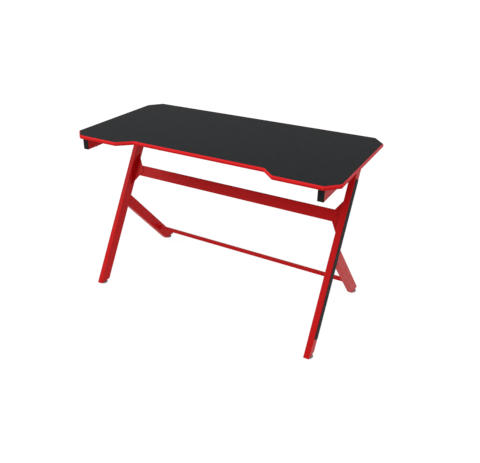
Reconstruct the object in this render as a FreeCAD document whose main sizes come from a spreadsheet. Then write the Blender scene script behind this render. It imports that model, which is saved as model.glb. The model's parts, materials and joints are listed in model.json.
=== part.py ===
import FreeCAD, Part
import os
import Sketcher

Vector = FreeCAD.Vector

# Driving dimensions of the desk: millimetres, and degrees for the two leans
DIMENSIONS = {
    # desktop: a skinned board with a moulding round its edge
    "desk_width": 1200,
    "desk_depth": 600,
    "desk_height": 750,
    "board_thickness": 16,
    "skin_thickness": 0.8,
    "front_corner_cut": 50,
    "rear_corner_cut_across": 50,
    "rear_corner_cut_deep": 60,
    "recess_mouth": 710,
    "recess_floor": 600,
    "recess_depth": 50,
    "moulding_lip": 0.5,
    "moulding_crown": 3,
    "spine_length": 8,
    "spine_thickness": 2.5,
    "groove_clearance": 0.2,
    # side frames of rectangular steel tube
    "frame_inset": 51,
    "tube_height": 50,
    "tube_width": 25,
    "tube_wall": 1.5,
    "tube_corner": 2,
    "bearer_inset": 20,
    "leg_lean": 30,
    "rear_lean": 42,
    "rear_toe_inset": 2.5,
    # plastic plugs in the bearers' ends
    "cap_flange": 3,
    "cap_edge_radius": 1,
    "cap_plug_depth": 14,
    "cap_plug_wall": 2,
    "cap_clearance": 0.2,
    # trim strips on the outer faces of the long legs
    "trim_width": 40,
    "trim_thickness": 2,
    "trim_edge_radius": 0.8,
    "trim_bottom_margin": 65,
    "trim_top_margin": 55,
    # folded crossbeam and the flared brackets that carry it
    "beam_along_leg": 578,
    "beam_setback": 32,
    "beam_width": 50,
    "beam_depth": 12,
    "beam_wall": 1.5,
    "beam_bend_radius": 1.5,
    "beam_end_gap": 2,
    "bracket_thickness": 3,
    "bracket_reach": 33,
    "bracket_nose": 17,
    "bracket_spread": 53,
    "beam_stud_diameter": 6,
    "beam_stud_length": 12,
    "beam_stud_spacing": 26,
    "beam_stud_inset": 16,
    "beam_nut_across_flats": 10,
    "beam_nut_height": 5,
    # lower stretcher and the stubs that it slides over
    "stretcher_size": 16,
    "stretcher_wall": 1.2,
    "stretcher_corner": 2,
    "stretcher_height": 99,
    "stretcher_end_gap": 0.5,
    "spigot_length": 25,
    "spigot_clearance": 0.2,
    # bolts that hold the desktop down on the bearers
    "bolt_diameter": 6,
    "bolt_head_diameter": 12,
    "bolt_head_height": 4,
    "bolt_socket_across_flats": 4,
    "bolt_socket_depth": 2.5,
    "bolt_engagement": 10,
    "bolt_end_distance": 60,
    "insert_diameter": 10,
    "insert_length": 11,
    "insert_drill_allowance": 1,
    # levelling feet
    "pad_diameter": 36,
    "pad_thickness": 5,
    "pad_chamfer": 0.6,
    "pad_rim_height": 3.2,
    "pad_hub_diameter": 24,
    "pad_floor": 1,
    "pad_lip": 0.8,
    "collar_across_flats": 17,
    "collar_height": 3.5,
    "foot_stud_diameter": 8,
    "foot_stud_button": 11,
    "foot_stud_tail": 12,
    "foot_plate_thickness": 3,
    "weld_nut_across_flats": 13,
    "weld_nut_height": 6.5,
    # clearances on radius: round running fits, threads, and holes that bolts pass through
    "button_clearance": 0.3,
    "thread_clearance": 0.075,
    "hole_clearance": 0.5,
}

SIDES = {"left": -1, "right": 1}
BOLT_ROWS = (-1, 0, 1)

# Tolerance for telling edges and faces apart
NEAR = 1e-5

doc = FreeCAD.newDocument("gaming_desk")
sheet = doc.addObject("Spreadsheet::Sheet", "dims")
for row, (alias, size) in enumerate(DIMENSIONS.items(), 1):
    sheet.set(f"A{row}", str(size))
    sheet.setAlias(f"A{row}", alias)
doc.recompute()

# Places and angles that follow from the driving dimensions
DERIVED = {
    "moulding_thickness": "dims.moulding_lip + dims.moulding_crown",
    "groove_depth": "dims.spine_length + dims.groove_clearance",
    "groove_height": "dims.spine_thickness + 2 * dims.groove_clearance",
    "board_bottom": "dims.desk_height - dims.board_thickness",
    "board_middle": "dims.desk_height - dims.board_thickness / 2",
    "core_half": "dims.board_thickness / 2 - dims.skin_thickness",
    "core_bottom": "layout.board_bottom + dims.skin_thickness",
    "bearer_bottom": "layout.board_bottom - dims.tube_height",
    "frame_width": "dims.desk_width - 2 * dims.frame_inset",
    "bearer_length": "dims.desk_depth - 2 * dims.bearer_inset",
    "bolt_pitch": "layout.bearer_length / 2 - dims.bolt_end_distance",
    "tube_across": "layout.frame_width / 2 - dims.tube_width / 2",
    "inner_face": "layout.frame_width / 2 - dims.tube_width",
    "leg_bottom": "dims.pad_thickness + dims.collar_height",
    "leg_sine": "sin(dims.leg_lean)",
    "leg_cosine": "cos(dims.leg_lean)",
    "leg_slope": "tan(dims.leg_lean)",
    "leg_cut": "dims.tube_height / layout.leg_cosine",
    "leg_wall_cut": "dims.tube_wall / layout.leg_cosine",
    "rear_sine": "sin(dims.rear_lean)",
    "rear_cosine": "cos(dims.rear_lean)",
    "rear_slope": "tan(dims.rear_lean)",
    "rear_cut": "dims.tube_height / layout.rear_cosine",
    "rear_wall_cut": "dims.tube_wall / layout.rear_cosine",
    "toe": "-dims.desk_depth / 2",
    "rear_toe": "dims.desk_depth / 2 - dims.rear_toe_inset",
    "leg_rise": "layout.bearer_bottom - layout.leg_bottom",
    "leg_top": "layout.toe + layout.leg_rise * layout.leg_slope",
    "leg_axis_start": "dims.tube_height / 2 * layout.leg_slope",
    "leg_axis_length": "layout.leg_rise / layout.leg_cosine",
    "slopes": "layout.leg_slope + layout.rear_slope",
    "mitre_top_rise": "(layout.rear_toe - layout.toe - layout.leg_cut) / layout.slopes",
    "mitre_low_rise": "layout.mitre_top_rise - layout.rear_cut / layout.slopes",
    "front_foot": "layout.toe + layout.leg_cut / 2",
    "rear_foot": "layout.rear_toe - layout.rear_cut / 2",
    "stretcher_rise": "dims.stretcher_height - layout.leg_bottom",
    "stretcher_back": "layout.rear_foot - layout.stretcher_rise * layout.rear_slope",
    "bore_radius": "dims.foot_stud_diameter / 2 + dims.thread_clearance",
    "button_top": "dims.pad_thickness - dims.pad_lip - dims.button_clearance",
}
layout = doc.addObject("App::VarSet", "layout")
for name, expression in DERIVED.items():
    layout.addProperty("App::PropertyFloat", name, "Derived", "")
    layout.setExpression(name, expression)
doc.recompute()

FRONT_LEG_AXIS = Vector(0, layout.leg_sine, layout.leg_cosine)
REAR_LEG_AXIS = Vector(0, -layout.rear_sine, layout.rear_cosine)

subparts = []


def subpart(item, label):
    """Names an object as one of the desk's pieces"""
    item.Label = label
    subparts.append(item)
    return item


def value(expression):
    """The number that an expression stands for now"""
    return float(sheet.evalExpression(expression))


def bind(item, **expressions):
    for prop, expression in expressions.items():
        item.setExpression(prop, expression)
    return item


def place(item, across, back, up):
    """Ties an object's origin to three expressions"""
    for axis, expression in zip("xyz", (across, back, up)):
        item.setExpression(f"Placement.Base.{axis}", expression)
    return item


def place_on_leg(item, across="0", along="0", out="0"):
    """Ties an object to the long legs' leaning front face: up the slope, and out from the face"""
    item.Placement = FreeCAD.Placement(Vector(), FreeCAD.Rotation(Vector(1, 0, 0), 90))
    item.setExpression("Placement.Rotation.Angle", "90 - dims.leg_lean")
    back = f"layout.toe + ({along}) * layout.leg_sine - ({out}) * layout.leg_cosine"
    up = f"layout.leg_bottom + ({along}) * layout.leg_cosine + ({out}) * layout.leg_sine"
    return place(item, across, back, up)


# Sketches

def hold_point(sketch, geometry, point, across, up):
    """Ties a sketch point to two expressions"""
    for kind, expression in (("DistanceX", across), ("DistanceY", up)):
        constraint = Sketcher.Constraint(kind, -1, 1, geometry, point, value(expression))
        number = sketch.addConstraint(constraint)
        sketch.setExpression(f"Constraints[{number}]", expression)


def draw_polygon(sketch, corners, bowed_side=None, bow=None, bow_radius=None):
    """Closes a profile through corners given as expressions, with one side bowed out if asked"""
    points = [Vector(value(across), value(up), 0) for across, up in corners]
    count = len(points)
    for side in range(count):
        start, end = points[side], points[(side + 1) % count]
        if side == bowed_side:
            middle = Vector(value(bow[0]), value(bow[1]), 0)
            sketch.addGeometry(Part.Arc(start, middle, end), False)
        else:
            sketch.addGeometry(Part.LineSegment(start, end), False)
    for side in range(count):
        sketch.addConstraint(Sketcher.Constraint("Coincident", side, 2, (side + 1) % count, 1))
    for side, (across, up) in enumerate(corners):
        hold_point(sketch, side, 1, across, up)
    if bowed_side is not None:
        number = sketch.addConstraint(Sketcher.Constraint("Radius", bowed_side, value(bow_radius)))
        sketch.setExpression(f"Constraints[{number}]", bow_radius)
    return sketch


def draw_circles(sketch, radius, centres):
    """Equal circles with their centres and radius given as expressions"""
    for across, up in centres:
        centre = Vector(value(across), value(up), 0)
        circle = sketch.addGeometry(Part.Circle(centre, Vector(0, 0, 1), value(radius)), False)
        hold_point(sketch, circle, 3, across, up)
        number = sketch.addConstraint(Sketcher.Constraint("Radius", circle, value(radius)))
        sketch.setExpression(f"Constraints[{number}]", radius)
    return sketch


def body_sketch(body, name, role, lift="0"):
    """An empty sketch on one of a body's origin planes, lifted along the plane's normal"""
    sketch = body.newObject("Sketcher::SketchObject", name)
    plane = next(feature for feature in body.Origin.OriginFeatures if feature.Role == role)
    sketch.AttachmentSupport = (plane, [""])
    sketch.MapMode = "FlatFace"
    sketch.setExpression("AttachmentOffset.Base.z", lift)
    return sketch


# Body features

def pad(body, sketch, length, symmetric=False, reverse=False):
    feature = body.newObject("PartDesign::Pad", "pad")
    feature.Profile = sketch
    feature.SideType = "Symmetric" if symmetric else "One side"
    feature.Reversed = reverse
    feature.setExpression("Length", length)
    doc.recompute()
    return feature


def pocket(body, sketch, length=None, symmetric=False):
    """Cuts a profile away, to a length or right through"""
    feature = body.newObject("PartDesign::Pocket", "pocket")
    feature.Profile = sketch
    feature.SideType = "Symmetric" if symmetric else "One side"
    if length:
        feature.setExpression("Length", length)
    else:
        feature.Type = "ThroughAll"
    before = feature.BaseFeature.Shape.Volume
    doc.recompute()
    if feature.Shape.Volume >= before:
        raise ValueError(f"{body.Label}: a pocket cuts nothing")
    return feature


def edges_along(feature, direction, axis="z", level=None):
    """Names of a feature's straight edges that run along a direction, or of those at one level only"""
    names = []
    for number, edge in enumerate(feature.Shape.Edges, 1):
        straight = isinstance(edge.Curve, Part.Line)
        if not straight or abs(edge.Curve.Direction.dot(direction)) < 1 - NEAR:
            continue
        if level is None or abs(getattr(edge.CenterOfMass, axis) - level) < NEAR:
            names.append(f"Edge{number}")
    return names


def edges_at(feature, axis, position):
    """Names of a feature's edges that lie in a plane square to an axis"""
    names = []
    for number, edge in enumerate(feature.Shape.Edges, 1):
        ends = [getattr(vertex.Point, axis) for vertex in edge.Vertexes]
        if all(abs(end - position) < NEAR for end in ends):
            names.append(f"Edge{number}")
    return names


def fillet(body, feature, names, radius):
    rounding = body.newObject("PartDesign::Fillet", "fillet")
    rounding.Base = (feature, names)
    rounding.setExpression("Radius", radius)
    doc.recompute()
    return rounding


def faces_across(feature, direction):
    """Names of a feature's flat faces that a bar along a direction ends in"""
    names = []
    for number, face in enumerate(feature.Shape.Faces, 1):
        if isinstance(face.Surface, Part.Plane) and abs(face.Surface.Axis.dot(direction)) > NEAR:
            names.append(f"Face{number}")
    return names


def hollow(body, feature, ends, wall):
    """Leaves a wall inside a bar that is open at its ends"""
    shell = body.newObject("PartDesign::Thickness", "shell")
    shell.Base = (feature, ends)
    shell.Reversed = True
    shell.setExpression("Value", wall)
    doc.recompute()
    return shell


def tube(label, corners, direction):
    """A side frame's rectangular tube, drawn from the side with its end cuts"""
    body = doc.addObject("PartDesign::Body", label)
    section = draw_polygon(body_sketch(body, "side_view", "YZ_Plane"), corners)
    bar = pad(body, section, "dims.tube_width", symmetric=True)
    bar = fillet(body, bar, edges_along(bar, direction), "dims.tube_corner")
    hollow(body, bar, faces_across(bar, direction), "dims.tube_wall")
    return body


# Part primitives and booleans

def cylinder(radius, height, across="0", back="0", up="0"):
    item = bind(doc.addObject("Part::Cylinder", "cylinder"), Radius=radius, Height=height)
    return place(item, across, back, up)


def hexagon(across_flats, height, across="0", back="0", up="0"):
    item = doc.addObject("Part::Prism", "hexagon")
    item.Polygon = 6
    bind(item, Circumradius=f"{across_flats} / sqrt(3)", Height=height)
    return place(item, across, back, up)


def cut(base, tool):
    item = doc.addObject("Part::Cut", "cut")
    item.Base = base
    item.Tool = tool
    return item


def fuse(pieces):
    item = doc.addObject("Part::MultiFuse", "fuse")
    item.Shapes = pieces
    return item


def group(label, pieces):
    """Equal loose pieces under one name"""
    item = doc.addObject("Part::Compound", label)
    item.Links = pieces
    return subpart(item, label)


# Desktop

def offset_outline(name, source, distance):
    """A line round the outline at a distance from it, with its corners left sharp"""
    item = doc.addObject("Part::Offset2D", name)
    item.Source = source
    item.Mode = "Pipe"
    item.Join = "Intersection"
    item.setExpression("Value", distance)
    doc.recompute()
    return item


def slab(outline, up, down):
    """The outline's area from a height over it down to a depth under it"""
    item = doc.addObject("Part::Extrusion", "slab")
    item.Base = outline
    item.DirMode = "Custom"
    item.Dir = Vector(0, 0, 1)
    item.Solid = True
    return bind(item, LengthFwd=up, LengthRev=down)


def desktop_outline():
    """The desktop's twelve sides, out to the crown of the moulding"""
    right, back = "dims.desk_width / 2", "dims.desk_depth / 2"
    half = [
        ("dims.recess_floor / 2", f"-{back} + dims.recess_depth"),
        ("dims.recess_mouth / 2", f"-{back}"),
        (f"{right} - dims.front_corner_cut", f"-{back}"),
        (right, f"-{back} + dims.front_corner_cut"),
        (right, f"{back} - dims.rear_corner_cut_deep"),
        (f"{right} - dims.rear_corner_cut_across", back),
    ]
    other_half = [(f"-({across})", up) for across, up in reversed(half)]
    outline = doc.addObject("Sketcher::SketchObject", "finished_outline")
    draw_polygon(outline, half + other_half)
    place(outline, "0", "0", "layout.board_middle")
    doc.recompute()
    return outline


def bolt_places():
    """Where the desktop is bolted down: a row of holes along each bearer"""
    return [(f"{side} * layout.tube_across", f"{row} * layout.bolt_pitch")
            for side in SIDES.values() for row in BOLT_ROWS]


def make_desktop():
    finished = desktop_outline()
    outline = offset_outline("board_outline", finished, "-layout.moulding_thickness")
    groove_floor = offset_outline("groove_floor", outline, "-layout.groove_depth")

    core = slab(outline, "layout.core_half", "layout.core_half")
    half_groove = "layout.groove_height / 2"
    groove = cut(slab(outline, half_groove, half_groove), slab(groove_floor, half_groove, half_groove))
    hole_radius = "dims.insert_diameter / 2 + dims.thread_clearance"
    hole_depth = "dims.insert_length + dims.insert_drill_allowance"
    holes = [cylinder(hole_radius, hole_depth, *spot, "layout.core_bottom") for spot in bolt_places()]
    subpart(cut(core, fuse([groove] + holes)), "desktop_board")

    half_board = "dims.board_thickness / 2"
    subpart(slab(outline, half_board, "-layout.core_half"), "desktop_laminate")
    backing = slab(outline, "-layout.core_half", half_board)
    bolt_radius = "dims.bolt_diameter / 2 + dims.hole_clearance"
    bolt_holes = [cylinder(bolt_radius, "dims.skin_thickness", *spot, "layout.board_bottom")
                  for spot in bolt_places()]
    subpart(cut(backing, fuse(bolt_holes)), "desktop_backing")
    make_moulding(outline)


def make_moulding(path):
    """A domed strip folded round the board, with a spine in the board's groove that is mitred at each fold"""
    edge = "dims.board_thickness / 2"
    spine = "dims.spine_thickness / 2"
    corners = [
        ("0", f"-{edge}"),
        ("dims.moulding_lip", f"-{edge}"),
        ("dims.moulding_lip", edge),
        ("0", edge),
        ("0", spine),
        ("-dims.spine_length", spine),
        ("-dims.spine_length", f"-{spine}"),
        ("0", f"-{spine}"),
    ]
    dome = f"(({edge}) ^ 2 + dims.moulding_crown ^ 2) / (2 * dims.moulding_crown)"
    section = doc.addObject("Sketcher::SketchObject", "moulding_section")
    draw_polygon(section, corners, bowed_side=1, bow=("layout.moulding_thickness", "0"), bow_radius=dome)
    upright = FreeCAD.Rotation(Vector(0, 1, 0), Vector(0, 0, 1), Vector(1, 0, 0), "XYZ")
    section.Placement = FreeCAD.Placement(Vector(), upright)
    place(section, "0", "dims.desk_depth / 2 - layout.moulding_thickness", "layout.board_middle")
    sweep = doc.addObject("Part::Sweep", "moulding_sweep")
    sweep.Sections = [section]
    sweep.Spine = (path, [f"Edge{number + 1}" for number in range(len(path.Shape.Edges))])
    sweep.Transition = "Right corner"
    sweep.Solid = True
    subpart(sweep, "edge_moulding")


def make_desktop_fixings():
    bolts = []
    inserts = []
    for spot in bolt_places():
        head_bottom = "layout.bearer_bottom - dims.bolt_head_height"
        head = cylinder("dims.bolt_head_diameter / 2", "dims.bolt_head_height", *spot, head_bottom)
        socket = hexagon("dims.bolt_socket_across_flats", "dims.bolt_socket_depth", *spot, head_bottom)
        shank_length = "dims.tube_height + dims.skin_thickness + dims.bolt_engagement"
        shank = cylinder("dims.bolt_diameter / 2", shank_length, *spot, "layout.bearer_bottom")
        bolts.append(cut(fuse([head, shank]), socket))
        sleeve = cylinder("dims.insert_diameter / 2", "dims.insert_length", *spot, "layout.core_bottom")
        thread_radius = "dims.bolt_diameter / 2 + dims.thread_clearance"
        thread = cylinder(thread_radius, "dims.insert_length", *spot, "layout.core_bottom")
        inserts.append(cut(sleeve, thread))
    group("desktop_bolts", bolts)
    group("desktop_inserts", inserts)


# Side frames

def make_bearer(side, sign):
    """The flat-topped tube that the desktop rests on, drilled for its bolts"""
    end = "layout.bearer_length / 2"
    corners = [
        (f"-{end}", "layout.bearer_bottom"),
        (end, "layout.bearer_bottom"),
        (end, "layout.board_bottom"),
        (f"-{end}", "layout.board_bottom"),
    ]
    body = tube(f"{side}_bearer", corners, Vector(0, 1, 0))
    spots = [("0", f"{row} * layout.bolt_pitch") for row in BOLT_ROWS]
    drill = body_sketch(body, "bolt_holes", "XY_Plane", "layout.board_bottom")
    pocket(body, draw_circles(drill, "dims.bolt_diameter / 2 + dims.hole_clearance", spots))
    place(body, f"{sign} * layout.tube_across", "0", "0")
    subpart(body, f"{side}_bearer")


def make_bearer_caps(side, sign):
    """Plugs with a flange as large as the tube, pushed into both ends of a bearer"""
    for end, facing in (("front", -1), ("rear", 1)):
        body = doc.addObject("PartDesign::Body", f"{side}_{end}_cap")
        half_width, half_height = "dims.tube_width / 2", "dims.tube_height / 2"
        flange = pad(body, cap_rectangle(body, "flange", half_width, half_height), "dims.cap_flange")
        flange = fillet(body, flange, edges_along(flange, Vector(0, 1, 0)), "dims.tube_corner")
        front = edges_at(flange, "y", -value("dims.cap_flange"))
        fillet(body, flange, front, "dims.cap_edge_radius")
        inset = "(dims.tube_wall + dims.cap_clearance)"
        plug = cap_rectangle(body, "plug", f"{half_width} - {inset}", f"{half_height} - {inset}")
        block = pad(body, plug, "dims.cap_plug_depth", reverse=True)
        sides = edges_along(block, Vector(0, 1, 0), "y", value("dims.cap_plug_depth / 2"))
        fillet(body, block, sides, "dims.tube_corner - dims.tube_wall")
        inset = "(dims.tube_wall + dims.cap_clearance + dims.cap_plug_wall)"
        room = cap_rectangle(body, "room", f"{half_width} - {inset}", f"{half_height} - {inset}")
        pocket(body, room, "dims.cap_plug_depth")
        body.Placement.Rotation = FreeCAD.Rotation(Vector(0, 0, 1), 0 if facing < 0 else 180)
        middle = "layout.board_bottom - dims.tube_height / 2"
        place(body, f"{sign} * layout.tube_across", f"{facing} * layout.bearer_length / 2", middle)
        subpart(body, f"{side}_{end}_cap")


def cap_rectangle(body, name, half_width, half_height):
    sketch = body_sketch(body, name, "XZ_Plane")
    corners = [
        (f"-({half_width})", f"-({half_height})"),
        (half_width, f"-({half_height})"),
        (half_width, half_height),
        (f"-({half_width})", half_height),
    ]
    return draw_polygon(sketch, corners)


def make_front_leg(side, sign):
    """The long leg, leaning back from the toe to the bearer, cut level at both ends"""
    corners = [
        ("layout.toe", "layout.leg_bottom"),
        ("layout.toe + layout.leg_cut", "layout.leg_bottom"),
        ("layout.leg_top + layout.leg_cut", "layout.bearer_bottom"),
        ("layout.leg_top", "layout.bearer_bottom"),
    ]
    body = tube(f"{side}_front_leg", corners, FRONT_LEG_AXIS)
    place(body, f"{sign} * layout.tube_across", "0", "0")
    subpart(body, f"{side}_front_leg")


def make_rear_leg(side, sign):
    """The short leg, mitred to the back of the long one and cut level at the floor"""
    top_back = "layout.rear_toe - layout.mitre_top_rise * layout.rear_slope"
    low_back = "layout.rear_toe - layout.rear_cut - layout.mitre_low_rise * layout.rear_slope"
    corners = [
        ("layout.rear_toe - layout.rear_cut", "layout.leg_bottom"),
        ("layout.rear_toe", "layout.leg_bottom"),
        (top_back, "layout.leg_bottom + layout.mitre_top_rise"),
        (low_back, "layout.leg_bottom + layout.mitre_low_rise"),
    ]
    body = tube(f"{side}_rear_leg", corners, REAR_LEG_AXIS)
    place(body, f"{sign} * layout.tube_across", "0", "0")
    subpart(body, f"{side}_rear_leg")


def make_leg_trim(side, sign):
    """A flat strip with softened edges along the middle of the long leg's outer face"""
    body = doc.addObject("PartDesign::Body", f"{side}_leg_trim")
    start = "layout.leg_axis_start + dims.trim_bottom_margin"
    end = "layout.leg_axis_start + layout.leg_axis_length - dims.trim_top_margin"
    near = "-dims.tube_height / 2 + dims.trim_width / 2"
    far = "-dims.tube_height / 2 - dims.trim_width / 2"
    sketch = body_sketch(body, "strip", "YZ_Plane", f"{sign} * layout.frame_width / 2")
    draw_polygon(sketch, [(start, far), (end, far), (end, near), (start, near)])
    strip = pad(body, sketch, "dims.trim_thickness", reverse=sign < 0)
    face = sign * value("layout.frame_width / 2 + dims.trim_thickness")
    fillet(body, strip, edges_at(strip, "x", face), "dims.trim_edge_radius")
    place_on_leg(body)
    subpart(body, f"{side}_leg_trim")


# Crossbeam

def stud_places(sign):
    """Two studs behind a bracket, across the desk and up the slope"""
    across = f"{sign} * (layout.inner_face - dims.beam_stud_inset)"
    return [(across, f"dims.beam_along_leg + {half} * dims.beam_stud_spacing / 2") for half in (-1, 1)]


def make_crossbeam():
    """A sheet folded to a channel, open to the rear, between the two long legs"""
    body = doc.addObject("PartDesign::Body", "crossbeam")
    low = "dims.beam_along_leg - dims.beam_width / 2"
    high = "dims.beam_along_leg + dims.beam_width / 2"
    web = "-dims.beam_setback"
    tip = "-dims.beam_setback - dims.beam_depth"
    wall = "dims.beam_wall"
    corners = [
        (low, web),
        (low, tip),
        (f"{low} + {wall}", tip),
        (f"{low} + {wall}", f"{web} - {wall}"),
        (f"{high} - {wall}", f"{web} - {wall}"),
        (f"{high} - {wall}", tip),
        (high, tip),
        (high, web),
    ]
    sketch = draw_polygon(body_sketch(body, "channel", "YZ_Plane"), corners)
    channel = pad(body, sketch, "2 * (layout.inner_face - dims.beam_end_gap)", symmetric=True)
    inner_bends = edges_along(channel, Vector(1, 0, 0), "z", value(f"{web} - {wall}"))
    channel = fillet(body, channel, inner_bends, "dims.beam_bend_radius")
    outer_bends = edges_along(channel, Vector(1, 0, 0), "z", value(web))
    fillet(body, channel, outer_bends, "dims.beam_bend_radius + dims.beam_wall")
    holes = body_sketch(body, "stud_holes", "XY_Plane")
    radius = "dims.beam_stud_diameter / 2 + dims.hole_clearance"
    pocket(body, draw_circles(holes, radius, stud_places(-1) + stud_places(1)))
    place_on_leg(body)
    subpart(body, "crossbeam")


def make_bracket(side, sign):
    """A plate welded to the long leg that narrows to the beam's width and ends in a point"""
    body = doc.addObject("PartDesign::Body", f"{side}_beam_bracket")
    leg = f"{sign} * layout.inner_face"
    neck = f"{sign} * (layout.inner_face - dims.bracket_reach)"
    point = f"{sign} * (layout.inner_face - dims.bracket_reach - dims.bracket_nose)"
    middle = "dims.beam_along_leg"
    half = "dims.beam_width / 2"
    corners = [
        (leg, f"{middle} - {half} - dims.bracket_spread"),
        (leg, f"{middle} + {half} + dims.bracket_spread"),
        (neck, f"{middle} + {half}"),
        (point, middle),
        (neck, f"{middle} - {half}"),
    ]
    sketch = draw_polygon(body_sketch(body, "plate", "XY_Plane", "-dims.beam_setback"), corners)
    pad(body, sketch, "dims.bracket_thickness")
    place_on_leg(body)
    subpart(body, f"{side}_beam_bracket")


def make_beam_fixings():
    """Studs welded to the backs of the brackets, with nuts that clamp the beam's web"""
    studs = []
    nuts = []
    for sign in SIDES.values():
        for across, along in stud_places(sign):
            stud = bind(doc.addObject("Part::Cylinder", "beam_stud"),
                        Radius="dims.beam_stud_diameter / 2", Height="dims.beam_stud_length")
            studs.append(place_on_leg(stud, across, along, "-dims.beam_setback - dims.beam_stud_length"))
            bore_radius = "dims.beam_stud_diameter / 2 + dims.thread_clearance"
            bore = cylinder(bore_radius, "dims.beam_nut_height")
            nut = cut(hexagon("dims.beam_nut_across_flats", "dims.beam_nut_height"), bore)
            seat = "-dims.beam_setback - dims.beam_wall - dims.beam_nut_height"
            nuts.append(place_on_leg(nut, across, along, seat))
    group("beam_studs", studs)
    group("beam_nuts", nuts)


# Lower stretcher

def stretcher_square(body, half_size):
    sketch = body_sketch(body, "square", "YZ_Plane")
    signs = ((-1, -1), (1, -1), (1, 1), (-1, 1))
    corners = [(f"{back} * ({half_size})", f"{up} * ({half_size})") for back, up in signs]
    return draw_polygon(sketch, corners)


def make_stretcher():
    """A square tube between the rear legs, slid over a stub on each"""
    body = doc.addObject("PartDesign::Body", "lower_stretcher")
    length = "2 * (layout.inner_face - dims.stretcher_end_gap)"
    bar = pad(body, stretcher_square(body, "dims.stretcher_size / 2"), length, symmetric=True)
    bar = fillet(body, bar, edges_along(bar, Vector(1, 0, 0)), "dims.stretcher_corner")
    hollow(body, bar, faces_across(bar, Vector(1, 0, 0)), "dims.stretcher_wall")
    place(body, "0", "layout.stretcher_back", "dims.stretcher_height")
    subpart(body, "lower_stretcher")

    stubs = []
    for side, sign in SIDES.items():
        stub = doc.addObject("PartDesign::Body", f"{side}_spigot")
        inset = "(dims.stretcher_wall + dims.spigot_clearance)"
        square = stretcher_square(stub, f"dims.stretcher_size / 2 - {inset}")
        block = pad(stub, square, "dims.spigot_length", reverse=sign > 0)
        long_edges = edges_along(block, Vector(1, 0, 0))
        fillet(stub, block, long_edges, "dims.stretcher_corner - dims.stretcher_wall")
        place(stub, f"{sign} * layout.inner_face", "layout.stretcher_back", "dims.stretcher_height")
        stubs.append(stub)
    group("stretcher_spigots", stubs)


# Levelling feet

def make_foot_plate(row, side):
    """A plate welded inside a leg's end, with a hole for the foot's stud"""
    body = doc.addObject("PartDesign::Body", f"{row}_{side}_plate")
    if row == "front":
        foot = "layout.front_foot"
        half = "(layout.leg_cut / 2 - layout.leg_wall_cut)"
        shift = "dims.foot_plate_thickness * layout.leg_slope"
        direction = FRONT_LEG_AXIS
    else:
        foot = "layout.rear_foot"
        half = "(layout.rear_cut / 2 - layout.rear_wall_cut)"
        shift = "-dims.foot_plate_thickness * layout.rear_slope"
        direction = REAR_LEG_AXIS
    low = "layout.leg_bottom"
    high = "layout.leg_bottom + dims.foot_plate_thickness"
    corners = [
        (f"{foot} - {half}", low),
        (f"{foot} + {half}", low),
        (f"{foot} + {half} + {shift}", high),
        (f"{foot} - {half} + {shift}", high),
    ]
    sketch = draw_polygon(body_sketch(body, "side_view", "YZ_Plane"), corners)
    plate = pad(body, sketch, "dims.tube_width - 2 * dims.tube_wall", symmetric=True)
    fillet(body, plate, edges_along(plate, direction), "dims.tube_corner")
    hole = body_sketch(body, "stud_hole", "XY_Plane", high)
    pocket(body, draw_circles(hole, "dims.foot_stud_diameter / 2 + dims.hole_clearance", [("0", foot)]))
    return body


def make_pad(name, spot):
    """A low disc with a sloped top and a captive socket for the stud's button"""
    body = doc.addObject("PartDesign::Body", name)
    rim = "dims.pad_diameter / 2"
    socket = "dims.foot_stud_button / 2 + dims.button_clearance"
    corners = [
        ("0", "0"),
        (f"{rim} - dims.pad_chamfer", "0"),
        (rim, "dims.pad_chamfer"),
        (rim, "dims.pad_rim_height"),
        ("dims.pad_hub_diameter / 2", "dims.pad_thickness"),
        ("layout.bore_radius", "dims.pad_thickness"),
        ("layout.bore_radius", "dims.pad_thickness - dims.pad_lip"),
        (socket, "dims.pad_thickness - dims.pad_lip"),
        (socket, "dims.pad_floor"),
        ("0", "dims.pad_floor"),
    ]
    sketch = draw_polygon(body_sketch(body, "half_section", "XZ_Plane"), corners)
    turned = body.newObject("PartDesign::Revolution", "turned")
    turned.Profile = sketch
    turned.ReferenceAxis = (sketch, ["V_Axis"])
    turned.Angle = 360
    place(body, *spot, "0")
    subpart(body, name)


def make_stud(name, spot):
    """A threaded stud with a hexagon to turn it by and a button held in the pad"""
    radius = "dims.foot_stud_diameter / 2"
    button_bottom = "dims.pad_floor + dims.button_clearance"
    button_height = f"layout.button_top - ({button_bottom})"
    button = cylinder("dims.foot_stud_button / 2", button_height, *spot, button_bottom)
    collar = hexagon("dims.collar_across_flats", "dims.collar_height", *spot, "dims.pad_thickness")
    top = "layout.leg_bottom + dims.foot_plate_thickness + dims.weld_nut_height + dims.foot_stud_tail"
    shank = cylinder(radius, f"{top} - layout.button_top", *spot, "layout.button_top")
    subpart(fuse([button, collar, shank]), name)


def make_feet():
    """Under each leg: a plate and a welded nut in the tube, and a stud with a pad"""
    nuts = []
    for row in ("front", "rear"):
        plates = []
        for side, sign in SIDES.items():
            spot = (f"{sign} * layout.tube_across", f"layout.{row}_foot")
            plate = make_foot_plate(row, side)
            plates.append(place(plate, spot[0], "0", "0"))
            seat = "layout.leg_bottom + dims.foot_plate_thickness"
            bore = cylinder("layout.bore_radius", "dims.weld_nut_height", *spot, seat)
            block = hexagon("dims.weld_nut_across_flats", "dims.weld_nut_height", *spot, seat)
            nuts.append(cut(block, bore))
            make_pad(f"{row}_{side}_foot_pad", spot)
            make_stud(f"{row}_{side}_foot_stud", spot)
        group(f"{row}_foot_plates", plates)
    group("weld_nuts", nuts)


make_desktop()
make_desktop_fixings()
for side_name, side_sign in SIDES.items():
    make_bearer(side_name, side_sign)
    make_bearer_caps(side_name, side_sign)
    make_front_leg(side_name, side_sign)
    make_rear_leg(side_name, side_sign)
    make_leg_trim(side_name, side_sign)
    make_bracket(side_name, side_sign)
make_crossbeam()
make_beam_fixings()
make_stretcher()
make_feet()
doc.recompute()

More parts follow.
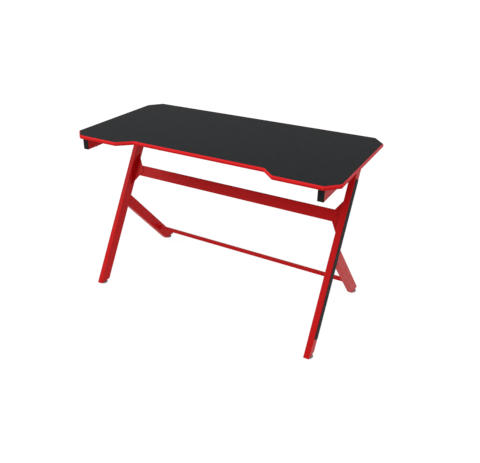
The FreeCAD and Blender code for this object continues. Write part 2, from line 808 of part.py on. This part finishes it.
for item in doc.Objects:
    if "Invalid" in item.State or "Error" in item.State:
        raise ValueError(f"{item.Label} failed: {item.State}")
for piece in subparts:
    if piece.Shape.isNull() or not piece.Shape.isValid():
        raise ValueError(f"{piece.Label} has no valid shape")

os.makedirs("parts", exist_ok=True)
for piece in subparts:
    piece.Shape.exportStep(f"parts/{piece.Label}.step")
print(len(subparts), "pieces written")
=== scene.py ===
import bmesh
import bpy
import json
import math
from mathutils import Matrix, Vector


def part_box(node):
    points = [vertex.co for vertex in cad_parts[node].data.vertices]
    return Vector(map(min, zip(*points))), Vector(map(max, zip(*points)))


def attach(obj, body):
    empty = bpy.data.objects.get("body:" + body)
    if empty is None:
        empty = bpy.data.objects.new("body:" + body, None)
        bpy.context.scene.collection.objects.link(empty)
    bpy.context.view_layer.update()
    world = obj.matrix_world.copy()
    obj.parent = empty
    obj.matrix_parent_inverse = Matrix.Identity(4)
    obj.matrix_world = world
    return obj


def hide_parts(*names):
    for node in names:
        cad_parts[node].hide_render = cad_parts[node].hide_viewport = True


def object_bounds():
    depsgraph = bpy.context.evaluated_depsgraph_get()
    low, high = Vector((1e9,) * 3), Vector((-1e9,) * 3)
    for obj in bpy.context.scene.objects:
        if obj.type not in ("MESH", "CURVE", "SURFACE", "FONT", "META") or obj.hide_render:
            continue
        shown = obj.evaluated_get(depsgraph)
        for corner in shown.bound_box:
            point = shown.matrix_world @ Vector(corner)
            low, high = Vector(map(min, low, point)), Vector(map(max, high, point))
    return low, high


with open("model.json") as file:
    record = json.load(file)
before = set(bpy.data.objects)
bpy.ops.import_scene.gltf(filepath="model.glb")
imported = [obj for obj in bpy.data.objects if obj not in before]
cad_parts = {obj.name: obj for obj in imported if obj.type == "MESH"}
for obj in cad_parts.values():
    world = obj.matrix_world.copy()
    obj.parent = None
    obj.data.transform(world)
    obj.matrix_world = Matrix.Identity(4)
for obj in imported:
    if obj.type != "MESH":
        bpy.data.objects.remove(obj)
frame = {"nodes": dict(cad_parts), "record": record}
cad_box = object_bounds()
nodes = frame["nodes"]

# Sizes that the details share with the desk's frame, in metres and radians
LEG_LEAN = math.radians(30)
TUBE_DEPTH = 0.050
BRACKET_THICKNESS = 0.003
FOOT_TRAVEL = 0.010
SIDES = {"left": -1, "right": 1}
FEET = ("front_left", "front_right", "rear_left", "rear_right")


# Materials

class Finish:
    """A Principled material whose patterns are read from the piece's own coordinates, in metres"""

    def __init__(self, name, **constants):
        self.material = bpy.data.materials.new(name)
        self.material.use_nodes = True
        self.tree = self.material.node_tree
        self.surface = self.tree.nodes["Principled BSDF"]
        for socket, amount in constants.items():
            self.surface.inputs[socket.replace("_", " ")].default_value = amount
        self.place = self.node("ShaderNodeTexCoord").outputs["Object"]

    def node(self, kind, **settings):
        """A new node of the material"""
        made = self.tree.nodes.new(kind)
        for setting, choice in settings.items():
            setattr(made, setting, choice)
        return made

    def link(self, source, target):
        self.tree.links.new(source, target)

    def stretched(self, stretch):
        """The piece's coordinates, scaled on each axis"""
        mapping = self.node("ShaderNodeMapping")
        mapping.inputs["Scale"].default_value = stretch
        self.link(self.place, mapping.inputs["Vector"])
        return mapping.outputs["Vector"]

    def noise(self, scale, detail, stretch=(1, 1, 1)):
        """Soft random clouds, with this many features to the metre"""
        texture = self.node("ShaderNodeTexNoise")
        texture.inputs["Scale"].default_value = scale
        texture.inputs["Detail"].default_value = detail
        self.link(self.stretched(stretch), texture.inputs["Vector"])
        return texture.outputs["Fac"]

    def cells(self, scale, output="Distance", feature="SMOOTH_F1"):
        """Random cells, with this many to the metre"""
        texture = self.node("ShaderNodeTexVoronoi", feature=feature)
        texture.inputs["Scale"].default_value = scale
        self.link(self.place, texture.inputs["Vector"])
        return texture.outputs[output]

    def spread(self, factor, low, high, start=0.0, end=1.0):
        """Maps a pattern from start..end to low..high"""
        mapping = self.node("ShaderNodeMapRange")
        for socket, amount in (("From Min", start), ("From Max", end), ("To Min", low), ("To Max", high)):
            mapping.inputs[socket].default_value = amount
        self.link(factor, mapping.inputs["Value"])
        return mapping.outputs["Result"]

    def blend(self, factor, first, second):
        """A colour between two others, each a colour or a socket"""
        mix = self.node("ShaderNodeMix", data_type="RGBA")
        self.link(factor, mix.inputs["Factor"])
        for socket, colour in ((mix.inputs["A"], first), (mix.inputs["B"], second)):
            if isinstance(colour, tuple):
                socket.default_value = (*colour, 1)
            else:
                self.link(colour, socket)
        return mix.outputs["Result"]

    def edges(self, radius):
        """One at the sharp edges of the piece, and none away from them"""
        rounded = self.node("ShaderNodeBevel", samples=6)
        rounded.inputs["Radius"].default_value = radius
        plain = self.node("ShaderNodeNewGeometry").outputs["Normal"]
        agree = self.node("ShaderNodeVectorMath", operation="DOT_PRODUCT")
        self.link(rounded.outputs["Normal"], agree.inputs[0])
        self.link(plain, agree.inputs[1])
        return self.spread(agree.outputs["Value"], 1, 0, start=0.75, end=0.99)

    def sum(self, first, second, share):
        """One pattern with a share of another added"""
        total = self.node("ShaderNodeMath", operation="MULTIPLY_ADD")
        self.link(second, total.inputs[0])
        total.inputs[1].default_value = share
        self.link(first, total.inputs[2])
        return total.outputs["Value"]

    def colour(self, source):
        self.link(source, self.surface.inputs["Base Color"])

    def roughness(self, source):
        self.link(source, self.surface.inputs["Roughness"])

    def patchy_roughness(self, smoothest, roughest, scale, detail=3):
        """Roughness that drifts in patches between two amounts"""
        patches = self.noise(scale, detail)
        self.roughness(self.spread(patches, smoothest, roughest, start=0.3, end=0.7))

    def bump(self, height, depth, strength):
        """Relief whose height pattern runs over a depth in metres"""
        relief = self.node("ShaderNodeBump")
        relief.inputs["Strength"].default_value = strength
        relief.inputs["Distance"].default_value = depth
        self.link(height, relief.inputs["Height"])
        self.link(relief.outputs["Normal"], self.surface.inputs["Normal"])


def painted_steel():
    """Satin red powder coat with orange peel, with painted shade in its hollows, and paler at the edges,
    where the coat is thinner and a painted edge highlight also sits
    """
    paint = Finish("red_powder_coat", Specular_IOR_Level=0.12)
    clouds = paint.noise(14, detail=3)
    peel = paint.noise(380, detail=1.5)
    grit = paint.noise(2400, detail=1)
    even = paint.blend(clouds, (0.56, 0.0034, 0.0046), (0.59, 0.0042, 0.0056))
    # Painted shade: the colour is darker in the hollows of the orange peel
    painted_shade_hollows = paint.spread(peel, 0.5, 0, start=0.35, end=0.65)
    with_painted_shade = paint.blend(painted_shade_hollows, even, (0.45, 0.0024, 0.0034))
    # Paler at the sharp edges, where the coat is thinner, and a painted edge highlight there too
    paint.colour(paint.blend(paint.edges(0.0009), with_painted_shade, (0.60, 0.007, 0.008)))
    paint.bump(paint.sum(peel, grit, 0.08), depth=0.00005, strength=0.45)
    paint.patchy_roughness(0.40, 0.50, scale=55, detail=4)
    return paint.material


def top_laminate():
    """Matte black desktop skin, embossed with a fine pebble, with painted shade in the pebbles' valleys"""
    skin = Finish("pebbled_black_laminate", Specular_IOR_Level=0.05)
    clouds = skin.noise(5, detail=2)
    pebbles = skin.cells(620)
    tone = skin.blend(clouds, (0.0160, 0.0172, 0.0184), (0.0170, 0.0182, 0.0194))
    # Painted shade: the colour darkens in the valleys between the pebbles
    painted_shade_valleys = skin.spread(pebbles, 0, 1, start=0.2, end=0.75)
    skin.colour(skin.blend(painted_shade_valleys, tone, (0.0055, 0.0062, 0.0072)))
    skin.bump(skin.sum(pebbles, skin.noise(2600, detail=2), 0.35), depth=0.00009, strength=0.6)
    skin.patchy_roughness(0.605, 0.635, scale=30)
    return skin.material


def under_laminate():
    """Plain dark skin under the desktop, with a faint paper grain along it"""
    skin = Finish("dark_backing_paper", Specular_IOR_Level=0.2)
    grain = skin.noise(900, detail=3, stretch=(0.05, 1, 1))
    skin.colour(skin.blend(grain, (0.014, 0.0142, 0.015), (0.026, 0.0262, 0.027)))
    skin.bump(grain, depth=0.00003, strength=0.5)
    skin.patchy_roughness(0.6, 0.78, scale=25)
    return skin.material


def edge_plastic():
    """Extruded red plastic with die lines along it, and painted light on its upper shoulder: a pinkish
    painted sheen on the sides and rear, and a brighter red painted highlight at the front
    """
    plastic = Finish("extruded_red_plastic", Specular_IOR_Level=0.04)
    clouds = plastic.noise(11, detail=2)
    even = plastic.blend(clouds, (0.51, 0.005, 0.006), (0.55, 0.006, 0.007))
    spot = plastic.node("ShaderNodeSeparateXYZ")
    plastic.link(plastic.place, spot.inputs["Vector"])
    low, high = cad_box
    # Painted highlight and sheen: the upper shoulder is lighter, brighter red at the front and pinkish on
    # the sides and rear
    painted_light_shoulder = plastic.spread(spot.outputs["Z"], 0, 1, start=high.z - 0.013, end=high.z - 0.003)
    front = plastic.spread(spot.outputs["Y"], 1, 0, start=low.y + 0.06, end=low.y + 0.14)
    painted_light_tone = plastic.blend(front, (0.69, 0.082, 0.105), (0.80, 0.023, 0.026))
    lines = plastic.noise(1500, detail=2, stretch=(0.01, 0.01, 1))
    grain = plastic.noise(1800, detail=1)
    # Lays the painted highlight and sheen over the plain red on the upper shoulder
    with_painted_light = plastic.blend(painted_light_shoulder, even, painted_light_tone)
    drawn = plastic.spread(lines, 0.3, 0, start=0.35, end=0.65)
    plastic.colour(plastic.blend(drawn, with_painted_light, (0.38, 0.004, 0.005)))
    plastic.bump(plastic.sum(lines, grain, 0.4), depth=0.00003, strength=0.5)
    plastic.patchy_roughness(0.5, 0.6, scale=45)
    return plastic.material


def trim_plastic():
    """Satin black strip with a fine grain that runs up the leg"""
    plastic = Finish("satin_black_strip", Specular_IOR_Level=0.02)
    along_leg = plastic.node("ShaderNodeVectorRotate", rotation_type="X_AXIS")
    along_leg.inputs["Angle"].default_value = LEG_LEAN
    plastic.link(plastic.place, along_leg.inputs["Vector"])
    plastic.place = along_leg.outputs["Vector"]
    streaks = plastic.noise(1300, detail=3, stretch=(1, 1, 0.05))
    clouds = plastic.noise(18, detail=2)
    tone = plastic.blend(clouds, (0.0130, 0.0135, 0.0145), (0.0160, 0.0165, 0.0175))
    pale_streaks = plastic.spread(streaks, 0, 1, start=0.35, end=0.65)
    plastic.colour(plastic.blend(pale_streaks, tone, (0.0275, 0.0285, 0.0295)))
    plastic.bump(streaks, depth=0.00003, strength=0.6)
    plastic.patchy_roughness(0.5, 0.6, scale=60)
    return plastic.material


def moulded_plastic(name, dark, pale, edge, rough, level):
    """Injection-moulded plastic with a spark-eroded grain, rubbed brighter at its edges"""
    plastic = Finish(name, Specular_IOR_Level=level)
    grain = plastic.sum(plastic.cells(1700), plastic.noise(3200, detail=1), 0.3)
    speckle = plastic.spread(grain, -1, 1, start=0.2, end=0.8)
    clouds = plastic.sum(plastic.noise(70, detail=3), speckle, 0.5)
    plastic.colour(plastic.blend(plastic.edges(0.0007), plastic.blend(clouds, dark, pale), edge))
    plastic.bump(grain, depth=0.00005, strength=0.6)
    plastic.patchy_roughness(rough - 0.06, rough + 0.08, scale=160)
    return plastic.material


def plated_steel(name, dark, pale, edge, rough):
    """Plated steel with cloudy patches, drawn lines and bare edges"""
    steel = Finish(name, Metallic=1.0)
    clouds = steel.noise(240, detail=4)
    steel.colour(steel.blend(steel.edges(0.0004), steel.blend(clouds, dark, pale), edge))
    drawn = steel.noise(2800, detail=2, stretch=(1, 1, 0.15))
    steel.bump(drawn, depth=0.00002, strength=0.5)
    steel.patchy_roughness(rough - 0.08, rough + 0.1, scale=500)
    return steel.material


def chipboard():
    """Raw particle board: pale and dark chips pressed together"""
    board = Finish("particle_board", Specular_IOR_Level=0.2)
    chips = board.cells(420, output="Color", feature="F1")
    shade = board.node("ShaderNodeSeparateColor")
    board.link(chips, shade.inputs["Color"])
    board.colour(board.blend(shade.outputs["Red"], (0.24, 0.15, 0.08), (0.52, 0.38, 0.23)))
    relief = board.sum(shade.outputs["Green"], board.noise(1500, detail=2), 0.5)
    board.bump(relief, depth=0.0002, strength=0.6)
    board.roughness(board.spread(shade.outputs["Blue"], 0.7, 0.9))
    return board.material


FINISHES = {
    "red_paint": painted_steel(),
    "top_laminate": top_laminate(),
    "under_laminate": under_laminate(),
    "red_moulding": edge_plastic(),
    "black_trim": trim_plastic(),
    "black_plastic": moulded_plastic("black_moulded_plastic", dark=(0.0115, 0.0115, 0.0118),
                                     pale=(0.0145, 0.0145, 0.0148), edge=(0.021, 0.022, 0.022),
                                     rough=0.48, level=0.05),
    "grey_nylon": moulded_plastic("grey_moulded_nylon", dark=(0.20, 0.25, 0.28), pale=(0.28, 0.33, 0.36),
                                  edge=(0.50, 0.58, 0.62), rough=0.46, level=0.3),
    "black_steel": plated_steel("black_oxide_steel", dark=(0.028, 0.028, 0.030), pale=(0.05, 0.05, 0.053),
                                edge=(0.13, 0.13, 0.13), rough=0.36),
    "zinc_steel": plated_steel("zinc_plated_steel", dark=(0.50, 0.52, 0.56), pale=(0.66, 0.67, 0.69),
                               edge=(0.76, 0.77, 0.78), rough=0.30),
    "board_core": chipboard(),
}


# Meshes

# Vertices closer than this are one, in metres
SAME_SPOT = 1e-6
# Threads, nuts and hexagons are smooth across edges blunter than this, in degrees
FASTENER_CREASE = 32


def piece(name, form, body, slot, replaced=()):
    """A new object from a bmesh, riding on a body and finished like a material slot"""
    bmesh.ops.recalc_face_normals(form, faces=form.faces)
    mesh = bpy.data.meshes.new(name)
    form.to_mesh(mesh)
    form.free()
    mesh.materials.append(FINISHES[slot])
    made = bpy.data.objects.new(name, mesh)
    bpy.context.scene.collection.objects.link(made)
    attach(made, body)
    if replaced:
        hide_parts(*replaced)
    return made


def smooth_by_angle(made, degrees):
    """Smooth shading with the sharp edges kept"""
    for face in made.data.polygons:
        face.use_smooth = True
    made.data.set_sharp_from_angle(angle=math.radians(degrees))


def skin_over(form, rows, looped=False):
    """Joins rings of vertices with quads, and closes both ends unless the last ring meets the first"""
    following = rows[1:] + rows[:1] if looped else rows[1:]
    for low, high in zip(rows, following):
        for step in range(len(low)):
            after = (step + 1) % len(low)
            form.faces.new((low[step], low[after], high[after], high[step]))
    if not looped:
        form.faces.new(reversed(rows[0]))
        form.faces.new(rows[-1])


def stacked_rings(form, rings, segments, place, looped=False):
    """A closed solid through stacked rings, each a height and a function from angle to radius"""
    rows = []
    for height, radius_at in rings:
        row = []
        for step in range(segments):
            angle = 2 * math.pi * step / segments
            radius = radius_at(angle)
            spot = Vector((radius * math.cos(angle), radius * math.sin(angle), height))
            row.append(form.verts.new(place @ spot))
        rows.append(row)
    skin_over(form, rows, looped)


def round_ring(height, radius):
    """A ring with the same radius all round"""
    return height, lambda angle: radius


def hexagon_ring(height, across_flats, limit):
    """A hexagon's outline with its corners turned down to a radius"""
    def radius_at(angle):
        off_flat = (angle % (math.pi / 3)) - math.pi / 6
        return min(across_flats / 2 / math.cos(off_flat), limit)
    return height, radius_at


# End face of a hexagon, as a share of its width across flats, and the rings in its chamfer
END_FACE_SHARE = 0.97
CHAMFER_STEPS = 4


def hexagon_rings(bottom, top, across_flats, chamfer):
    """A hexagon with both ends chamfered the way a nut is turned"""
    corner = across_flats / math.sqrt(3)
    turned_off = corner - across_flats / 2 * END_FACE_SHARE
    shares = [step / CHAMFER_STEPS for step in range(CHAMFER_STEPS + 1)]
    limits = [(chamfer * share, corner - turned_off * (1 - share)) for share in shares]
    rings = [hexagon_ring(bottom + rise, across_flats, limit) for rise, limit in limits]
    rings += [hexagon_ring(top - rise, across_flats, limit) for rise, limit in reversed(limits)]
    return rings


# Thread form: depth as a share of the pitch, crest and flank as shares of half a pitch
THREAD_DEPTH = 0.54
THREAD_CREST = 0.12
THREAD_FLANK = 0.68
# Share of the depth that is left at the thread's very ends
THREAD_RUN_OUT = 0.15
THREAD_RINGS_PER_TURN = 8


def thread_rings(bottom, top, radius, pitch):
    """A right-hand thread that fades out at both of its ends"""
    depth = THREAD_DEPTH * pitch
    steps = round((top - bottom) / pitch * THREAD_RINGS_PER_TURN)
    rings = []
    for step in range(steps + 1):
        height = bottom + (top - bottom) * step / steps
        near_end = min(height - bottom, top - height) / pitch
        cut = depth * min(1.0, THREAD_RUN_OUT + near_end)

        def radius_at(angle, height=height, cut=cut):
            phase = (height / pitch - angle / (2 * math.pi)) % 1
            flank = abs(2 * phase - 1)
            return radius - cut * min(1.0, max(0.0, (flank - THREAD_CREST) / THREAD_FLANK))

        rings.append((height, radius_at))
    return rings


def islands(node):
    """The lowest and highest corner of each loose solid of a CAD node, from left to right"""
    form = bmesh.new()
    form.from_mesh(nodes[node].data)
    bmesh.ops.remove_doubles(form, verts=form.verts, dist=SAME_SPOT)
    waiting = set(form.verts)
    boxes = []
    while waiting:
        front = [waiting.pop()]
        found = []
        while front:
            vertex = front.pop()
            found.append(vertex.co.copy())
            for edge in vertex.link_edges:
                other = edge.other_vert(vertex)
                if other in waiting:
                    waiting.remove(other)
                    front.append(other)
        low = Vector(min(spot[axis] for spot in found) for axis in range(3))
        high = Vector(max(spot[axis] for spot in found) for axis in range(3))
        boxes.append((low, high))
    form.free()
    return sorted(boxes, key=lambda box: tuple(box[0]))


def soften(node, width, angle):
    """Small rounded edges on a CAD node"""
    weld = nodes[node].modifiers.new("join", "WELD")
    weld.merge_threshold = SAME_SPOT
    bevel = nodes[node].modifiers.new("soften", "BEVEL")
    bevel.limit_method = "ANGLE"
    bevel.angle_limit = math.radians(angle)
    bevel.width = width
    bevel.segments = 2
    normals = nodes[node].modifiers.new("shade", "WEIGHTED_NORMAL")
    normals.keep_sharp = True


# Levelling feet: a threaded stud with a hexagon collar, and a button that turns in the pad

STUD_RADIUS = 0.004
STUD_PITCH = 0.00125
STUD_NECK = 0.0004
STUD_POINT = 0.0006
STUD_POINT_BREAK = 0.0007
STUD_SEGMENTS = 48
BUTTON_RADIUS = 0.0055
BUTTON_LOWER_BREAK = 0.0004
BUTTON_UPPER_BREAK = 0.0003
BUTTON_PLAY = 0.0003
COLLAR_ACROSS_FLATS = 0.017
COLLAR_HEIGHT = 0.0035
COLLAR_CHAMFER = 0.0007
PAD_LIP = 0.0008


def make_foot_stud(foot):
    """One turned piece: the button in the pad, the collar on top of it and the thread up into the leg"""
    node = f"{foot}_foot_stud"
    low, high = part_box(node)
    pad_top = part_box(f"{foot}_foot_pad")[1].z
    middle = (low + high) / 2
    button_top = pad_top - PAD_LIP - BUTTON_PLAY
    collar_top = pad_top + COLLAR_HEIGHT
    rings = [
        round_ring(low.z, BUTTON_RADIUS - BUTTON_LOWER_BREAK),
        round_ring(low.z + BUTTON_LOWER_BREAK, BUTTON_RADIUS),
        round_ring(button_top - BUTTON_UPPER_BREAK, BUTTON_RADIUS),
        round_ring(button_top, BUTTON_RADIUS - BUTTON_UPPER_BREAK),
        round_ring(button_top, STUD_RADIUS),
        round_ring(pad_top, STUD_RADIUS),
    ]
    rings += hexagon_rings(pad_top, collar_top, COLLAR_ACROSS_FLATS, COLLAR_CHAMFER)
    rings += [round_ring(collar_top, STUD_RADIUS)]
    rings += thread_rings(collar_top + STUD_NECK, high.z - STUD_POINT, STUD_RADIUS, STUD_PITCH)
    rings += [round_ring(high.z, STUD_RADIUS - STUD_POINT_BREAK)]
    form = bmesh.new()
    stacked_rings(form, rings, STUD_SEGMENTS, Matrix.Translation((middle.x, middle.y, 0)))
    stud = piece(f"{foot}_threaded_stud", form, f"{foot}_stud", "zinc_steel", [node])
    smooth_by_angle(stud, FASTENER_CREASE)


for foot_name in FEET:
    make_foot_stud(foot_name)


# Crossbeam fixings: threaded studs behind the brackets, with nuts on the beam's web

BEAM_STUD_RADIUS = 0.003
BEAM_STUD_PITCH = 0.001
BEAM_STUD_LENGTH = 0.012
BEAM_STUD_ROOT = 0.002
BEAM_STUD_POINT = 0.0006
BEAM_STUD_SEGMENTS = 32
BEAM_NUT_ACROSS_FLATS = 0.010
BEAM_NUT_HEIGHT = 0.005
BEAM_NUT_CHAMFER = 0.0008
BEAM_NUT_BORE = 0.003075
BEAM_NUT_BORE_BREAK = 0.0004
BEAM_NUT_SEGMENTS = 48


def behind_the_beam(box):
    """A frame at a fixing's middle whose z axis points back and down, square to the beam"""
    low, high = box
    turn = Matrix.Rotation(math.pi / 2 - LEG_LEAN + math.pi, 4, "X")
    return Matrix.Translation((low + high) / 2) @ turn


def make_beam_studs():
    """Studs with a plain root at the bracket and a thread behind it"""
    form = bmesh.new()
    half = BEAM_STUD_LENGTH / 2
    thread_start = BEAM_STUD_ROOT - half
    thread_end = half - BEAM_STUD_POINT
    for box in islands("beam_studs"):
        rings = [round_ring(-half, BEAM_STUD_RADIUS)]
        rings += thread_rings(thread_start, thread_end, BEAM_STUD_RADIUS, BEAM_STUD_PITCH)
        rings += [round_ring(half, BEAM_STUD_RADIUS - BEAM_STUD_POINT)]
        stacked_rings(form, rings, BEAM_STUD_SEGMENTS, behind_the_beam(box))
    studs = piece("threaded_beam_studs", form, "frame", "zinc_steel", ["beam_studs"])
    smooth_by_angle(studs, FASTENER_CREASE)


def make_beam_nuts():
    """Nuts with chamfered corners, each a hexagon outside and a bore with broken edges inside"""
    form = bmesh.new()
    half = BEAM_NUT_HEIGHT / 2
    for box in islands("beam_nuts"):
        rings = hexagon_rings(-half, half, BEAM_NUT_ACROSS_FLATS, BEAM_NUT_CHAMFER)
        rings += [
            round_ring(half, BEAM_NUT_BORE + BEAM_NUT_BORE_BREAK),
            round_ring(half - BEAM_NUT_BORE_BREAK, BEAM_NUT_BORE),
            round_ring(BEAM_NUT_BORE_BREAK - half, BEAM_NUT_BORE),
            round_ring(-half, BEAM_NUT_BORE + BEAM_NUT_BORE_BREAK),
        ]
        stacked_rings(form, rings, BEAM_NUT_SEGMENTS, behind_the_beam(box), looped=True)
    nuts = piece("chamfered_beam_nuts", form, "frame", "zinc_steel", ["beam_nuts"])
    smooth_by_angle(nuts, FASTENER_CREASE)


make_beam_studs()
make_beam_nuts()


# Welds: painted beads where the tubes and brackets of a side frame meet

WELD_RADIUS = 0.0019
WELD_RIPPLE = 0.0021
WELD_DIP = 0.12
WELD_TIP = 0.25
WELD_STEP = 0.00042
WELD_SECTORS = 12
WELD_CREASE = 50
WELD_SIDE_MARGIN = 0.002
WELD_END_MARGIN = 0.006


def weld_bead(form, start, end):
    """A rippled bead from start to end, with ends that taper off"""
    run = end - start
    count = round(run.length / WELD_STEP)
    along = run.normalized()
    side = along.orthogonal().normalized()
    other = along.cross(side)
    rows = []
    for step in range(count + 1):
        travel = run.length * step / count
        taper = min(1.0, WELD_TIP + min(travel, run.length - travel) / (2 * WELD_RADIUS))
        wave = abs(math.sin(math.pi * travel / WELD_RIPPLE))
        width = WELD_RADIUS * taper * (1 - WELD_DIP + WELD_DIP * wave)
        row = []
        for sector in range(WELD_SECTORS):
            angle = 2 * math.pi * sector / WELD_SECTORS
            spot = start + along * travel + (side * math.cos(angle) + other * math.sin(angle)) * width
            row.append(form.verts.new(spot))
        rows.append(row)
    skin_over(form, rows)


def make_welds(side, sign):
    """All beads of one side frame, as one piece"""
    form = bmesh.new()
    leg_low, leg_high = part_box(f"{side}_front_leg")
    rear_low, rear_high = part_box(f"{side}_rear_leg")
    plate_low, plate_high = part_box(f"{side}_beam_bracket")
    inner = leg_low.x + WELD_SIDE_MARGIN
    outer = leg_high.x - WELD_SIDE_MARGIN
    cut = TUBE_DEPTH / math.cos(LEG_LEAN)
    back_of_leg = leg_low.y + cut
    # long leg under the bearer, and rear leg on the back of the long leg
    seams = [(leg_high.y - cut, leg_high.z), (leg_high.y, leg_high.z)]
    seams += [(back_of_leg + (rear_high.z - leg_low.z) * math.tan(LEG_LEAN), rear_high.z)]
    seams += [(rear_low.y, leg_low.z + (rear_low.y - back_of_leg) / math.tan(LEG_LEAN))]
    for back, up in seams:
        weld_bead(form, Vector((inner, back, up)), Vector((outer, back, up)))
    # bracket on the leg's inner face, behind the plate
    face = leg_low.x if sign > 0 else leg_high.x
    start = Vector((face, plate_low.y + BRACKET_THICKNESS * math.cos(LEG_LEAN), plate_low.z))
    end = Vector((face, plate_high.y, plate_high.z - BRACKET_THICKNESS * math.sin(LEG_LEAN)))
    inset = (end - start).normalized() * WELD_END_MARGIN
    weld_bead(form, start + inset, end - inset)
    beads = piece(f"{side}_frame_welds", form, "frame", "red_paint")
    smooth_by_angle(beads, WELD_CREASE)


for side_name, side_sign in SIDES.items():
    make_welds(side_name, side_sign)
    soften(f"{side_name}_beam_bracket", width=0.0005, angle=40)
soften("crossbeam", width=0.0003, angle=50)
soften("desktop_bolts", width=0.0004, angle=50)

# Every CAD node that stays in view gets the finish of its slot
for subpart in frame["record"]["subparts"]:
    carried = nodes[subpart["node"]]
    carried.data.materials.clear()
    carried.data.materials.append(FINISHES[subpart["material_slot"]])


# Stage: a plain white floor just under the reach of the feet, and soft light

FLOOR_HALF_SIZE = 60
FLOOR_CLEARANCE = 0.0005
FLOOR_COLOUR = (0.88, 0.88, 0.88, 1)
FLOOR_GLOW = 1.06
# Share of the floor's look that is plain white: near the desk, where its shadow falls, and far from it
GLOW_SHARE_NEAR = 0.88
GLOW_SHARE_FAR = 1.0
SHADOW_START = 0.7
SHADOW_END = 3.0
WORLD_SEEN = 1.0
WORLD_LIGHT = 0.74


def seen_directly(tree):
    """One for rays that show the surroundings: camera, mirror and glass rays"""
    path = tree.nodes.new("ShaderNodeLightPath")
    seen = path.outputs["Is Camera Ray"]
    for kind in ("Is Glossy Ray", "Is Transmission Ray"):
        either = tree.nodes.new("ShaderNodeMath")
        either.operation = "MAXIMUM"
        tree.links.new(seen, either.inputs[0])
        tree.links.new(path.outputs[kind], either.inputs[1])
        seen = either.outputs["Value"]
    return seen


def make_floor():
    """White to look at, with a faint shadow under the desk, and a matte surface to the light"""
    form = bmesh.new()
    bmesh.ops.create_grid(form, x_segments=1, y_segments=1, size=FLOOR_HALF_SIZE)
    mesh = bpy.data.meshes.new("floor")
    form.to_mesh(mesh)
    form.free()
    floor = bpy.data.objects.new("floor", mesh)
    floor.location.z = -FOOT_TRAVEL - FLOOR_CLEARANCE
    bpy.context.scene.collection.objects.link(floor)
    material = bpy.data.materials.new("white_floor")
    material.use_nodes = True
    tree = material.node_tree
    tree.nodes.clear()
    matte = tree.nodes.new("ShaderNodeBsdfDiffuse")
    matte.inputs["Color"].default_value = FLOOR_COLOUR
    white = tree.nodes.new("ShaderNodeEmission")
    white.inputs["Strength"].default_value = FLOOR_GLOW
    place = tree.nodes.new("ShaderNodeTexCoord")
    distance = tree.nodes.new("ShaderNodeVectorMath")
    distance.operation = "LENGTH"
    tree.links.new(place.outputs["Object"], distance.inputs[0])
    fade = tree.nodes.new("ShaderNodeMapRange")
    fade.interpolation_type = "SMOOTHSTEP"
    fade.inputs["From Min"].default_value = SHADOW_START
    fade.inputs["From Max"].default_value = SHADOW_END
    fade.inputs["To Min"].default_value = GLOW_SHARE_NEAR
    fade.inputs["To Max"].default_value = GLOW_SHARE_FAR
    tree.links.new(distance.outputs["Value"], fade.inputs["Value"])
    share = tree.nodes.new("ShaderNodeMath")
    share.operation = "MULTIPLY"
    tree.links.new(fade.outputs["Result"], share.inputs[1])
    mix = tree.nodes.new("ShaderNodeMixShader")
    output = tree.nodes.new("ShaderNodeOutputMaterial")
    tree.links.new(seen_directly(tree), share.inputs[0])
    tree.links.new(share.outputs["Value"], mix.inputs["Fac"])
    tree.links.new(matte.outputs["BSDF"], mix.inputs[1])
    tree.links.new(white.outputs["Emission"], mix.inputs[2])
    tree.links.new(mix.outputs["Shader"], output.inputs["Surface"])
    mesh.materials.append(material)


def make_world():
    """White to look at, and a dimmer even light on the desk"""
    world = bpy.data.worlds.new("studio")
    bpy.context.scene.world = world
    world.use_nodes = True
    tree = world.node_tree
    background = tree.nodes["Background"]
    background.inputs["Color"].default_value = (1, 1, 1, 1)
    level = tree.nodes.new("ShaderNodeMapRange")
    level.inputs["To Min"].default_value = WORLD_LIGHT
    level.inputs["To Max"].default_value = WORLD_SEEN
    tree.links.new(seen_directly(tree), level.inputs["Value"])
    tree.links.new(level.outputs["Result"], background.inputs["Strength"])


def softbox(name, location, target, size, power):
    """A soft rectangular lamp that faces a target, with its power in watts"""
    light = bpy.data.lights.new(name, "AREA")
    light.shape = "RECTANGLE"
    light.size, light.size_y = size
    light.energy = power
    lamp = bpy.data.objects.new(name, light)
    lamp.location = location
    lamp.rotation_mode = "QUATERNION"
    lamp.rotation_quaternion = (Vector(target) - Vector(location)).to_track_quat("-Z", "Y")
    bpy.context.scene.collection.objects.link(lamp)


def make_camera():
    """Looks at the desk from its front right and above, framed as 480 by 463"""
    camera = bpy.data.cameras.new("camera")
    camera.sensor_width = 36
    camera.lens = 40.834
    camera.shift_x = 0.0264
    camera.shift_y = -0.0377
    azimuth = math.radians(30.165)
    elevation = math.radians(26.175)
    towards = Vector((-math.sin(azimuth) * math.cos(elevation), math.cos(azimuth) * math.cos(elevation),
                      -math.sin(elevation)))
    eye = bpy.data.objects.new("camera", camera)
    eye.location = (1.1115, -1.9067, 1.4727)
    eye.rotation_mode = "QUATERNION"
    eye.rotation_quaternion = towards.to_track_quat("-Z", "Y")
    bpy.context.scene.collection.objects.link(eye)
    bpy.context.scene.camera = eye


make_floor()
make_world()
softbox("key", location=(-3.0, -2.4, 2.6), target=(0, 0, 0.4), size=(2.0, 1.6), power=46)
softbox("overhead", location=(0.3, -1.2, 3.0), target=(0, 0, 0.5), size=(2.6, 2.0), power=15)
make_camera()
bpy.context.scene.view_settings.view_transform = "Standard"
